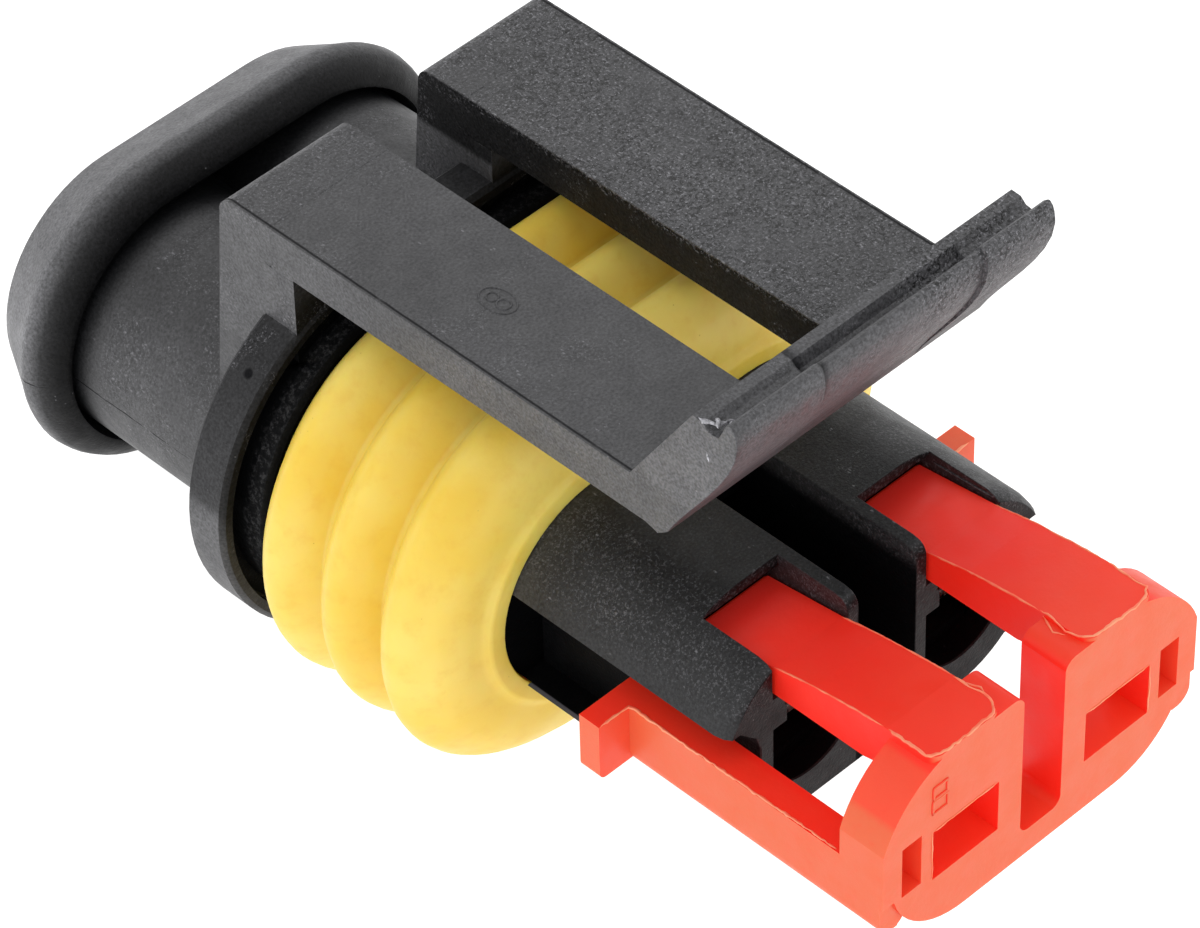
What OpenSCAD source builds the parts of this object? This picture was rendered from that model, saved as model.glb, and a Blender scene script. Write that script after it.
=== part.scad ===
// Two-way sealed plug connector: stadium housing with a wire-side collar, a stop
// flange carrying two posts, a sprung latch frame over the seal, a ribbed
// interface seal, a front secondary lock, two socket contacts and two wire seals.
// Right-handed, millimetres. Mating side faces -Y, latch side is up, +X is right
// as seen from the front. Everything is drawn about the two cavity axes and then
// turned and lifted into place at the bottom of the file.

/* [Overall] */
// Distance between the two cavity centre lines
pitch = 6.0; // [6:0.1:6]
// Height of the cavity centre lines above the surface the plug lies on
axis_h = 6.6; // [6.6:0.1:6.6]
// Forward offset that centres the plug over the origin
y_centre = 0.45; // [0.4:0.05:0.5]

/* [Housing, wire side] */
// Rear face of the collar, measured forward from the middle of the plug
collar_rear = -17.6; // [-17.7:0.1:-17.5]
// Front edge of the collar rim
collar_front = -14.4; // [-14.5:0.05:-14.3]
// Half spacing of the collar's end arcs
collar_a = 2.8; // [2.75:0.05:2.85]
// End radius of the collar at its widest
collar_r = 5.25; // [5.1:0.05:5.3]
// Distance of the wire bores, the neck and the collar below the cavity lines
wire_drop = 1.2; // [1.15:0.05:1.25]
// Radius of each neck barrel
neck_r = 3.93; // [3.85:0.01:4]
// Radius of the wire bores
bore_r = 2.65; // [2.6:0.05:2.7]

/* [Housing, flange and seat] */
// Rear face of the stop flange
flange_rear = -7.0; // [-7.2:0.1:-6.8]
// Front face of the stop flange
flange_front = -5.5; // [-5.6:0.05:-5.4]
// End radius of the stop flange
flange_r = 6.35; // [6.2:0.05:6.4]
// End radius of the step in front of the flange
step_r = 5.45; // [5.4:0.05:5.6]
// Front face of that step
step_front = -4.75; // [-4.8:0.05:-4.7]
// End radius of the seat under the interface seal
seat_r = 3.7; // [3.6:0.05:3.7]
// Front end of the seat
seat_front = 2.3; // [2.2:0.05:2.4]

/* [Housing, mating side] */
// End radius of the two towers
tower_r = 3.5; // [3.45:0.05:3.55]
// Front face of the towers
tower_front = 11.0; // [10.9:0.05:11.05]
// Half width of the gap between the towers
gap_half = 1.13; // [1:0.05:1.2]
// Rear end of that gap
gap_rear = 4.4; // [4:0.1:5]
// Half width of the top channels, about each cavity line
chan_half = 1.45; // [1.4:0.01:1.5]
// Rear end of the open part of each channel
chan_rear = 8.4; // [8.3:0.05:8.5]
// Rear end of the covered part of each channel
chan_deep = 4.6; // [4:0.1:4.8]
// Floor of the channels above the cavity line
chan_floor = 1.85; // [1.8:0.05:1.9]
// Lower edge of the tower side walls above the cavity line
wall_low = 1.45; // [1.35:0.05:1.5]
// Half width of the core tube around each cavity
core_half = 1.87; // [1.8:0.01:1.9]
// Rear end of the side recess
recess_rear = 2.6; // [2.5:0.05:2.7]
// Outer end radius of the curved bottom plate
plate_r = 2.95; // [2.85:0.01:3]
// Outer end radius of the wider tray behind it, next to the seal
tray_r = 3.63; // [3.55:0.01:3.68]
// Front end of that tray
tray_front = 6.1; // [5.6:0.1:6.2]
// Top of the bottom plate below the cavity line
plate_top = 2.22; // [2.2:0.01:2.25]

/* [Cavities] */
// Half width of each contact cavity
cav_half = 1.3; // [1.25:0.05:1.3]
// Top of each contact cavity above its line
cav_top = 1.45; // [1.4:0.05:1.5]
// Bottom of each contact cavity below its line
cav_low = 1.4; // [1.35:0.05:1.45]
// Front end of the round wire bores
bore_front = -7.6; // [-7.7:0.1:-7.5]
// Length of the locking lances
lance_len = 4.4; // [4:0.1:4.6]

/* [Latch] */
// Inner edge of each arm from the middle plane
arm_in = 1.52; // [1.5:0.01:1.55]
// Outer edge of each arm and of the lip
arm_out = 6.03; // [6:0.01:6.05]
// Underside of the arms above the cavity line
arm_low = 7.55; // [7.5:0.05:7.6]
// Top of the arms above the cavity line
arm_top = 8.95; // [8.9:0.05:9]
// Rear face of the posts
post_rear = -8.5; // [-8.6:0.1:-8.4]
// Centre of the flexing root of the arms
root_y = -6.4; // [-6.5:0.1:-6.3]
// Front face of the posts
post_front = -5.6; // [-5.7:0.05:-5.55]
// Radial clearance round the rolled arm roots
root_gap = 0.06; // [0.05:0.01:0.1]

/* [Seal] */
// Crest radius of the interface seal ribs
rib_r = 6.6; // [6.5:0.05:6.6]
// Valley radius between the ribs
valley_r = 5.55; // [5.4:0.05:5.7]
// Distance between two rib crests
rib_step = 2.36; // [2.32:0.02:2.4]
// Position of the rearmost rib crest
rib_first = -3.36; // [-3.4:0.02:-3.32]

/* [Secondary lock] */
// Front face of the lock in its open position
lock_front = 16.7; // [16.6:0.1:16.8]
// Thickness of the front block
lock_t = 1.58; // [1.5:0.02:1.7]
// Half width of the notch between the lobes
notch_half = 0.81; // [0.7:0.01:0.9]
// Floor of the notch below the cavity line
notch_low = 1.95; // [1.8:0.05:2.1]
// Half width of the tongues
tongue_half = 1.33; // [1.25:0.01:1.35]
// Top of the tongues above the cavity line
tongue_top = 3.57; // [3.5:0.01:3.6]
// Rear tip of the tongues
tongue_rear = 8.0; // [7.9:0.1:8.2]
// Outer end radius of the side arms
side_r = 3.2; // [3.15:0.05:3.2]
// Rear face of the hook tabs
hook_rear = 6.55; // [6.4:0.05:6.6]

/* [Contacts and wire seals] */
// Half width of the contact box
box_half = 1.1; // [1:0.05:1.15]
// Sheet thickness of the contacts
sheet_t = 0.3; // [0.25:0.05:0.35]
// Radius of the wire passage in the wire seals
wire_r = 0.95; // [0.9:0.05:1]

/* [Hidden] */
$fn = 64;
a = pitch / 2;
eps = 0.02;

// Turned solid about the forward axis: pts are [radius, forward position]
module turned(pts) {
  rotate([-90, 0, 0]) rotate_extrude($fn = 96) polygon(pts);
}

// Straight run of the same profile, across the plug, both faces
module run(pts, w) {
  n = len(pts);
  up = [for (p = pts) [p[1], p[0]]];
  translate([-w, 0, 0]) rotate([90, 0, 90]) linear_extrude(2 * w) {
    polygon(up);
    mirror([0, 1]) polygon(up);
  }
}

// Stadium solid: two turned ends joined by a straight run
module stadium(pts, w) {
  for (s = [-1, 1]) translate([s * w, 0, 0]) turned(pts);
  run(pts, w);
}

// Plain stadium prism between two forward positions
module oval(r, w, y0, y1) {
  for (s = [-1, 1]) translate([s * w, y0, 0]) rotate([-90, 0, 0]) cylinder(r = r, h = y1 - y0, $fn = 96);
  translate([-w, y0, -r]) cube([2 * w, y1 - y0, 2 * r]);
}

// Box given by its two opposite corners
module slab(x0, x1, y0, y1, z0, z1) {
  translate([x0, y0, z0]) cube([x1 - x0, y1 - y0, z1 - z0]);
}

// Flat plate drawn in the side view (forward, up) and drawn across from x0 to x1
module side_plate(pts, x0, x1) {
  translate([x0, 0, 0]) rotate([90, 0, 90]) linear_extrude(x1 - x0) polygon(pts);
}

// Plate drawn in the front view (across, up) and run from y0 to y1
module front_plate(y0, y1) {
  translate([0, y1, 0]) rotate([90, 0, 0]) linear_extrude(y1 - y0) children();
}

// Stadium in the front view
module oval2(r, w) {
  for (s = [-1, 1]) translate([s * w, 0]) circle(r = r, $fn = 96);
  translate([-w, -r]) square([2 * w, 2 * r]);
}

// ---- housing ----------------------------------------------------------
module collar() {
  translate([0, 0, -wire_drop]) difference() {
    // flares forward from the rear face to its widest line, then turns in to the rim
    stadium([[0, collar_rear], [collar_r - 1.35, collar_rear], [collar_r - 1.08, collar_rear + 0.15],
             [collar_r - 0.25, collar_front - 1.55], [collar_r - 0.06, collar_front - 1.25], [collar_r, collar_front - 1.05],
             [collar_r - 0.04, collar_front - 0.78], [collar_r - 0.14, collar_front - 0.55],
             [collar_r - 0.5, collar_front - 0.2], [collar_r - 0.72, collar_front - 0.05], [collar_r - 0.86, collar_front], [0, collar_front]], collar_a);
    // channel in the front face, round the neck
    difference() {
      oval(collar_r - 0.92, collar_a, collar_front - 1.5, collar_front + 1);
      neck_body(collar_front - 2.2, collar_front + 2);
    }
  }
}

module neck_body(y0, y1) {
  for (s = [-1, 1]) translate([s * a, y0, 0]) rotate([-90, 0, 0]) cylinder(r = neck_r, h = y1 - y0, $fn = 96);
  slab(-a, a, y0, y1, -neck_r, 2.6);
}

module flange() {
  stadium([[0, flange_rear], [flange_r - 0.15, flange_rear], [flange_r, flange_rear + 0.15],
           [flange_r, flange_front - 0.15], [flange_r - 0.15, flange_front], [flange_r - 0.4, flange_front],
           [flange_r - 0.4, flange_front - 0.6], [step_r, flange_front - 0.6],
           [step_r, step_front - 0.15], [step_r - 0.15, step_front], [0, step_front]], a);
}

// Side view of a post: leaning rear face, rounded top rear corner
module post_side() {
  polygon([[post_rear - 0.7, 0.2], [post_front, 0.2], [post_front, arm_low - root_gap], [root_y, arm_low - root_gap],
           [root_y, arm_top], [post_rear + 0.55, arm_top], [post_rear, arm_top - 0.55]]);
  translate([post_rear + 0.55, arm_top - 0.55]) circle(r = 0.55, $fn = 48);
}

module posts() {
  for (s = [-1, 1]) {
    x0 = s > 0 ? arm_in : -arm_out;
    difference() {
      translate([x0, 0, 0]) rotate([90, 0, 90]) linear_extrude(arm_out - arm_in) post_side();
      root_roll(x0 - 1, arm_out - arm_in + 2, root_gap);
    }
  }
  // ledge between the posts
  slab(-1.85, arm_in + 0.1, -7.2, -5.6, 0.9, 5.55);
  slab(-0.6, arm_in + 0.1, -8.1, -7.1, 0.9, 4.4);
}

// Rolled root of an arm, as a cylinder across the plug
module root_roll(x0, w, grow) {
  translate([x0, root_y, (arm_low + arm_top) / 2]) rotate([0, 90, 0])
    cylinder(r = (arm_top - arm_low) / 2 + grow, h = w, $fn = 64);
}

module tower_shell() {
  // top half of the towers, with the side walls stopping above the recess
  intersection() {
    stadium([[0, seat_front - 0.5], [tower_r, seat_front - 0.5], [tower_r, tower_front - 0.5],
             [tower_r - 0.06, tower_front - 0.2], [tower_r - 0.18, tower_front], [0, tower_front]], a);
    slab(-8, 8, seat_front - 0.6, tower_front + 1, wall_low, 5);
  }
  // full section under the seal and just in front of it
  oval(tower_r, a, seat_front - 0.6, recess_rear);
  // sloping underside that carries each side wall on its core
  front_plate(recess_rear - 0.2, tower_front) for (s = [-1, 1])
    polygon([[s * (a + 1.5), 0.3], [s * (a + core_half), 0.3], [s * (a + 2.02), 0.8], [s * (a + 2.7), wall_low + 0.01], [s * (a + 1.5), wall_low + 0.01]]);
  // tubes round the contact cavities
  for (s = [-1, 1]) slab(s * a - core_half, s * a + core_half, seat_front - 0.5, tower_front, -plate_top - 0.1, wall_low + 0.2);
  // curved bottom plate
  intersection() {
    oval(plate_r, a, seat_front - 0.5, tower_front);
    slab(-8, 8, seat_front - 0.6, tower_front + 1, -plate_r - 1, -plate_top);
  }
  // wider tray next to the seal, under the side recesses
  intersection() {
    union() {
      oval(tray_r, a, 2.97, tray_front);
      oval(tower_r, a, recess_rear - 0.1, 3.1);
    }
    slab(-8, 8, recess_rear - 0.2, tray_front + 1, -tray_r - 1, -plate_top);
  }
}

// Rounds the upper front edge of the towers
module front_round() {
  difference() {
    slab(-8, 8, tower_front - 0.45, tower_front + 1, tower_r - 0.45, tower_r + 1);
    translate([-9, tower_front - 0.45, tower_r - 0.45]) rotate([0, 90, 0]) cylinder(r = 0.45, h = 18, $fn = 48);
  }
}

module cavities() {
  for (s = [-1, 1]) translate([s * a, 0, 0]) {
    // wire bore with a lead-in at the rear face
    translate([0, 0, -wire_drop]) rotate([-90, 0, 0]) {
      translate([0, 0, collar_rear - 1]) cylinder(r = bore_r, h = bore_front - collar_rear + 1);
      translate([0, 0, collar_rear - 0.01]) cylinder(r1 = bore_r + 0.5, r2 = bore_r, h = 0.8);
    }
    // contact cavity
    slab(-cav_half, cav_half, bore_front - 0.1, tower_front - 0.7, -cav_low, cav_top);
    // its front opening: rounded below, narrower above
    front_plate(tower_front - 0.8, tower_front + 1) {
      intersection() {
        circle(r = 1.95, $fn = 64);
        translate([-1.43, -3]) square([2.86, 3.7]);
      }
      translate([-0.9, 0]) square([1.8, cav_top]);
    }
    // covered and open parts of the tongue channel
    slab(-chan_half, chan_half, chan_deep, tower_front + 1, chan_floor, 3.08);
    slab(-chan_half, chan_half, chan_rear, tower_front + 1, chan_floor, 6);
    // slots that free the locking lance in the cavity roof
    for (k = [-1, 1]) slab(k * 0.85 - 0.13, k * 0.85 + 0.13, tower_front - 0.9 - lance_len, tower_front + 1, cav_top - 0.1, chan_floor + 0.1);
    slab(-0.98, 0.98, tower_front - 0.95, tower_front + 1, cav_top - 0.1, chan_floor + 0.1);
  }
}

module lances() {
  // hooked tip of each lance, reaching down in front of the contact shoulder
  for (s = [-1, 1]) side_plate([[tower_front - 0.95, cav_top + 0.05], [tower_front - 0.95, cav_top - 0.45],
                                [tower_front - 1.2, cav_top - 0.45], [tower_front - 2.6, cav_top + 0.05]],
                               s * a - 0.6, s * a + 0.6);
}

module housing() {
  color([0.13, 0.13, 0.135]) union() {
    difference() {
      union() {
        collar();
        translate([0, 0, -wire_drop]) neck_body(collar_front - 2, flange_rear + 0.3);
        flange();
        oval(seat_r, a, step_front - 0.5, seat_front);
        posts();
        tower_shell();
      }
      cavities();
      // gap between the towers, down to the bottom plate
      slab(-gap_half, gap_half, gap_rear, tower_front + 1, -plate_top, 6);
      front_round();
    }
    lances();
  }
}

// ---- latch ------------------------------------------------------------
// Smooth curve through two end points, bent towards two others
function bend(p, n) = [for (i = [0:n]) let (t = i / n, u = 1 - t)
  u * u * u * p[0] + 3 * u * u * t * p[1] + 3 * u * t * t * p[2] + t * t * t * p[3]];

// Side view of the crossbar and its lip: back sets the front face back, dip is the
// depth of the groove behind the bead
function lip_side(back, dip) = concat(
  [[7.0, arm_low], [7.9, arm_low], [8.35, 7.42]],
  bend([[8.72, 7.7], [9.35 - back / 2, 8.95], [11.22 - back, 11.0], [11.27 - back, 12.33]], 8),
  bend([[11.26 - back, 12.5], [11.23 - back, 12.8], [11.14 - back, 13.02 - back], [10.97 - back / 2, 12.97 - back]], 4),
  [[10.84 - back / 2, 12.86 - back], [10.62, 12.45 - dip], [10.42, 12.4 - dip], [10.22, 12.42 - dip * 0.7], [10.05, 12.5],
   [9.68, 12.52], [7.35, arm_top], [7.0, arm_top]]);

module latch_frame() {
  color([0.15, 0.15, 0.155]) {
    for (s = [-1, 1]) {
      x0 = s > 0 ? arm_in : -arm_out;
      root_roll(x0, arm_out - arm_in, 0);
      slab(x0, x0 + arm_out - arm_in, root_y, 7.4, arm_low, arm_top);
    }
    // crossbar turned up into the thumb lip: full at both ends, slimmer between
    side_plate(lip_side(0.14, 0.34), -arm_out, arm_out);
    side_plate(lip_side(0, 0.12), -arm_out, -3.4);
    side_plate(lip_side(0, 0.12), 2.75, arm_out);
  }
}

// ---- interface seal ---------------------------------------------------
module interface_seal() {
  g = 0.02;
  c = [for (i = [0:2]) rib_first + i * rib_step];
  // each rib is a half wave, sampled every 15 degrees
  wave = [for (i = [0:2]) for (t = [-90:15:(i == 2 ? 60 : 90)])
            [valley_r + (rib_r - valley_r) * cos(t), c[i] + t / 90 * rib_step * 0.46]];
  color([0.93, 0.78, 0.25])
  difference() {
    // the front face of the last rib curves down to a thin lip round the towers
    stadium(concat([[0, step_front + g], [4.9, step_front + g], [valley_r - 0.1, c[0] - rib_step * 0.5]],
                   wave,
                   [[5.78, c[2] + 0.97], [5.45, c[2] + 1.12], [5.0, c[2] + 1.25], [4.6, c[2] + 1.31], [4.38, c[2] + 1.33],
                    [4.24, c[2] + 1.37], [4.12, c[2] + 1.46], [3.98, c[2] + 1.52], [0, c[2] + 1.52]]), a);
    oval(seat_r + g, a, step_front - 1, seat_front + g);
    oval(tower_r + 0.03, a, step_front - 1, seat_front + 2);
  }
}

// ---- secondary lock ---------------------------------------------------
module lobe_outline() {
  // lower outline
  oval2(2.87, a);
  // taller, squarer upper part
  intersection() {
    union() {
      for (s = [-1, 1]) translate([s * a, 0.19]) circle(r = 3.38, $fn = 96);
      translate([-a, 0]) square([2 * a, 3.75]);
    }
    translate([-a - side_r, -0.75]) square([2 * (a + side_r), tongue_top + 0.62]);
  }
}

module lock_block() {
  difference() {
    front_plate(lock_front - lock_t, lock_front) difference() {
      lobe_outline();
      // rounded upper corners beside the notch
      for (s = [-1, 1]) difference() {
        translate([s * (notch_half + 0.2) - 0.21, tongue_top - 0.55]) square([0.42, 1]);
        translate([s * (notch_half + 0.41), tongue_top - 0.55]) circle(r = 0.42, $fn = 48);
      }
      // notch between the lobes, with rounded lower corners
      translate([-notch_half, -notch_low + 0.35]) square([2 * notch_half, 8]);
      translate([-notch_half + 0.35, -notch_low]) square([2 * notch_half - 0.7, 1]);
      for (s = [-1, 1]) translate([s * (notch_half - 0.35), -notch_low + 0.35]) circle(r = 0.35, $fn = 32);
      for (s = [-1, 1]) {
        // wide window over the contact and narrow slot beside it
        translate([s * a - 1.28, -1.02]) square([2.56, 1.84]);
        translate([s * (a + 2.1) - 0.37, -0.79]) square([0.75, 1.84]);
      }
    }
  }
}

// Front view of the strip of a side arm, w wide at its top
module arm_outline(w) {
  translate([a + side_r - w, -1.42]) square([w, 1.72]);
  translate([a + side_r - w, -1.92]) square([w - 0.5, 0.6]);
  translate([a + side_r - 0.5, -1.42]) circle(r = 0.5, $fn = 48);
}

// reach is how far the hook stands out, rise how far it stands up
module side_arm(reach, rise) {
  // strip hugging the tower side: upright outside, rounded below
  front_plate(hook_rear, lock_front - lock_t + 0.1) arm_outline(1.05);
  // outer part of the strip, carried on along the block to just behind its front face
  front_plate(lock_front - lock_t, lock_front - 0.12) arm_outline(0.7);
  // outward hook tab at the rear end
  slab(a + 2.45, a + reach - 0.25, hook_rear, hook_rear + 0.75, -1.75, rise);
  slab(a + reach - 0.3, a + reach, hook_rear, hook_rear + 0.75, -1.5, rise);
  translate([a + reach - 0.25, hook_rear, -1.5]) rotate([-90, 0, 0]) cylinder(r = 0.25, h = 0.75, $fn = 32);
}

module secondary_lock() {
  color([0.93, 0.25, 0.16]) union() {
    lock_block();
    for (s = [-1, 1]) {
      // tongue: level in front, thinner and sloping down towards its rear tip
      side_plate([[tongue_rear, 2.12], [tongue_rear + 0.6, 1.97], [14.2, 1.97], [14.7, 2.08], [15.2, 2.4], [lock_front - 0.5, 2.4],
                  [lock_front - 0.5, tongue_top], [15.0, tongue_top], [13.9, tongue_top - 0.1], [12.4, tongue_top - 0.3],
                  [10.9, 2.96], [tongue_rear + 0.15, 2.6], [tongue_rear, 2.45]],
                 s * a - tongue_half, s * a + tongue_half);
      // rounded front end of the tongue, flush with the front face
      translate([s * a, 0, tongue_top - 0.5]) linear_extrude(0.5) {
        translate([-tongue_half, lock_front - 1]) square([2 * tongue_half, 0.62]);
        translate([-tongue_half + 0.38, lock_front - 1]) square([2 * tongue_half - 0.76, 1]);
        for (k = [-1, 1]) translate([k * (tongue_half - 0.38), lock_front - 0.38]) circle(r = 0.38, $fn = 48);
      }
    }
    // the hook of the right arm came out a little longer and higher than the left one
    side_arm(4.35, 0.3);
    mirror([1, 0, 0]) side_arm(4.55, 0.85);
  }
}

// ---- contacts ---------------------------------------------------------
module contact(x) {
  t = sheet_t;
  color([0.75, 0.74, 0.7]) translate([x, 0, 0]) {
    // box spring body, open at the front
    difference() {
      slab(-box_half, box_half, 2.0, 9.6, -1.15, 0.95);
      slab(-box_half + t, box_half - t, 1.0, 10.6, -1.15 + t, 0.95 - t);
    }
    // spring tongue inside the box
    side_plate([[2.6, -0.86], [6.2, -0.2], [8.9, -0.62], [8.9, -0.42], [6.2, 0.02], [2.6, -0.66]], -0.55, 0.55);
    // floor strip running back to the crimps
    slab(-0.7, 0.7, -8.45, 2.4, -1.15, -0.85);
    // wire crimp: two ears curled over the conductor
    difference() {
      translate([0, -4.4, -0.1]) rotate([-90, 0, 0]) cylinder(r = 1.08, h = 4.2);
      translate([0, -5.4, -0.1]) rotate([-90, 0, 0]) cylinder(r = 0.78, h = 6.2);
      slab(-0.12, 0.12, -5.4, 0.8, 0, 3);
    }
    // step down to the line of the wire
    slab(-0.7, 0.7, -8.5, -8.2, -2.65, -0.85);
    // seal crimp: a wider curl round the neck of the wire seal
    translate([0, 0, -wire_drop]) difference() {
      translate([0, -10.7, 0]) rotate([-90, 0, 0]) cylinder(r = 1.56, h = 2.25);
      translate([0, -11.7, 0]) rotate([-90, 0, 0]) cylinder(r = 1.27, h = 4.4);
      slab(-0.2, 0.2, -11.7, -8.0, 0.3, 3);
    }
  }
}
module contact_left() contact(a);
module contact_right() contact(-a);

// ---- wire seals -------------------------------------------------------
module wire_seal(x) {
  color([0.86, 0.45, 0.2]) translate([x, 0, -wire_drop]) rotate([-90, 0, 0]) rotate_extrude($fn = 96)
    polygon([[wire_r, -16.8], [2.3, -16.8], [2.3, -16.5], [2.63, -16.15], [2.63, -15.85], [2.3, -15.5],
             [2.3, -15.1], [2.63, -14.75], [2.63, -14.45], [2.3, -14.1], [2.3, -13.7], [2.63, -13.35],
             [2.63, -13.05], [2.3, -12.7], [2.0, -11.8], [1.6, -11.2], [1.25, -10.9], [1.25, -8.9],
             [wire_r, -8.9]]);
}
module wire_seal_left() wire_seal(a);
module wire_seal_right() wire_seal(-a);

// Turn the drawing so that the mating side faces -Y, and lift it onto the surface
module placed() {
  translate([0, 0, axis_h]) rotate([0, 0, 180]) translate([0, y_centre, 0]) children();
}

placed() housing();
placed() latch_frame();
placed() interface_seal();
placed() secondary_lock();
placed() contact_left();
placed() contact_right();
placed() wire_seal_left();
placed() wire_seal_right();
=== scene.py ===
import math
import random

import bmesh
import bpy
from mathutils import Matrix, Vector


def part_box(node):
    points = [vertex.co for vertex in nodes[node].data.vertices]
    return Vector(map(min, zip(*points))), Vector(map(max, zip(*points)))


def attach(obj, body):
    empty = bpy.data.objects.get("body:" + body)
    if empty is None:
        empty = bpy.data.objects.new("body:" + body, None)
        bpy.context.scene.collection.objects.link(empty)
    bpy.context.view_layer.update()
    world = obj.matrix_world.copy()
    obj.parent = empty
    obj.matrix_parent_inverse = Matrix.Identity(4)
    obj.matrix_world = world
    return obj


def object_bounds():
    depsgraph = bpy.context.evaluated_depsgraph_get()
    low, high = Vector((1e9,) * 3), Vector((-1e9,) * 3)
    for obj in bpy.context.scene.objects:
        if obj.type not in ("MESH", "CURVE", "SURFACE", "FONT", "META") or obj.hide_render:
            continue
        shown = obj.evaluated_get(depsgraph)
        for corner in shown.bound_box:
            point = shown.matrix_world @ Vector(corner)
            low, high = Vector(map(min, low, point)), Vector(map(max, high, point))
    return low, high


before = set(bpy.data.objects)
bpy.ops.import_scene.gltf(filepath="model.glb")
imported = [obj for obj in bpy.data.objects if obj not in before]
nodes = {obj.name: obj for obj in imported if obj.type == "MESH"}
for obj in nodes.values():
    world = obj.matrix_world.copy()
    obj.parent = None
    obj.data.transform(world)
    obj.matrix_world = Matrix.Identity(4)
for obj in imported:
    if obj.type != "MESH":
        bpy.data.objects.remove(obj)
cad_lo, cad_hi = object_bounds()
MM = 0.001

# ---------------------------------------------------------------- landmarks, mm, from the frame
h_lo, h_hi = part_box("housing")
l_lo, l_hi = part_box("latch_frame")
k_lo, k_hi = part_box("secondary_lock")
s_lo, s_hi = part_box("interface_seal")
AXIS = 6.6                        # height of the cavity lines
FRONT = k_lo.y / MM               # front face of the lock
REAR = h_hi.y / MM                # rear face of the collar
WIRE_Z = AXIS - 1.2               # height of the wire bores
ARM_X = l_hi.x / MM               # outer edge of the latch arms
LIP_TOP = l_hi.z / MM
LOCK_X = 6.2                      # upright side of the lock block


# ---------------------------------------------------------------- node helpers
class Mat:
    """A small wrapper that keeps node building short."""

    def __init__(self, name):
        self.m = bpy.data.materials.new(name)
        self.m.use_nodes = True
        self.t = self.m.node_tree
        self.t.nodes.clear()
        self.out = self.t.nodes.new("ShaderNodeOutputMaterial")
        self.p = self.t.nodes.new("ShaderNodeBsdfPrincipled")
        self.t.links.new(self.p.outputs[0], self.out.inputs["Surface"])
        co = self.t.nodes.new("ShaderNodeTexCoord")
        mp = self.t.nodes.new("ShaderNodeMapping")
        mp.inputs["Scale"].default_value = (1000, 1000, 1000)
        self.t.links.new(co.outputs["Object"], mp.inputs["Vector"])
        self.pos = mp.outputs["Vector"]          # position in mm
        sep = self.t.nodes.new("ShaderNodeSeparateXYZ")
        self.t.links.new(self.pos, sep.inputs[0])
        self.x, self.y, self.z = sep.outputs

    def put(self, sock, v):
        if isinstance(v, (int, float)):
            sock.default_value = v
        elif isinstance(v, (tuple, list)):
            sock.default_value = tuple(v) + ((1,) if len(sock.default_value) == 4 and len(v) == 3 else ())
        else:
            self.t.links.new(v, sock)

    def math(self, op, a, b=None, c=None, clamp=False):
        n = self.t.nodes.new("ShaderNodeMath")
        n.operation = op
        n.use_clamp = clamp
        self.put(n.inputs[0], a)
        if b is not None:
            self.put(n.inputs[1], b)
        if c is not None:
            self.put(n.inputs[2], c)
        return n.outputs[0]

    def noise(self, scale, detail=3.0, rough=0.5, offset=0.0):
        n = self.t.nodes.new("ShaderNodeTexNoise")
        v = self.pos
        if offset:
            a = self.t.nodes.new("ShaderNodeVectorMath")
            a.operation = "ADD"
            self.t.links.new(self.pos, a.inputs[0])
            a.inputs[1].default_value = (offset, offset * 0.7, -offset)
            v = a.outputs[0]
        self.t.links.new(v, n.inputs["Vector"])
        n.inputs["Scale"].default_value = scale
        n.inputs["Detail"].default_value = detail
        n.inputs["Roughness"].default_value = rough
        return n.outputs["Fac"]

    def cells(self, scale, offset=0.0, rand=1.0):
        n = self.t.nodes.new("ShaderNodeTexVoronoi")
        a = self.t.nodes.new("ShaderNodeVectorMath")
        a.operation = "ADD"
        self.t.links.new(self.pos, a.inputs[0])
        a.inputs[1].default_value = (offset, -offset * 0.6, offset * 1.3)
        self.t.links.new(a.outputs[0], n.inputs["Vector"])
        n.inputs["Scale"].default_value = scale
        n.inputs["Randomness"].default_value = rand
        return n.outputs["Distance"], n.outputs["Color"]

    def ramp(self, v, lo, hi, a=0.0, b=1.0, smooth=True):
        n = self.t.nodes.new("ShaderNodeMapRange")
        n.interpolation_type = "SMOOTHSTEP" if smooth else "LINEAR"
        n.clamp = True if hasattr(n, "clamp") else True
        self.put(n.inputs["Value"], v)
        self.put(n.inputs["From Min"], lo)
        self.put(n.inputs["From Max"], hi)
        self.put(n.inputs["To Min"], a)
        self.put(n.inputs["To Max"], b)
        return n.outputs["Result"]

    def mix(self, f, a, b):
        n = self.t.nodes.new("ShaderNodeMix")
        n.data_type = "RGBA"
        self.put(n.inputs["Factor"], f)
        self.put(n.inputs[6], a)
        self.put(n.inputs[7], b)
        return n.outputs[2]

    def band(self, v, at, half, soft=0.02):
        """1 where |v - at| < half."""
        d = self.math("ABSOLUTE", self.math("SUBTRACT", v, at))
        return self.ramp(d, half - soft, half + soft, 1.0, 0.0)

    def bump(self, height, dist, strength=1.0, prev=None):
        n = self.t.nodes.new("ShaderNodeBump")
        self.put(n.inputs["Strength"], strength)
        n.inputs["Distance"].default_value = dist * MM
        self.put(n.inputs["Height"], height)
        if prev is not None:
            self.t.links.new(prev, n.inputs["Normal"])
        return n.outputs["Normal"]

    def set(self, name, v):
        self.put(self.p.inputs[name], v)


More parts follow.
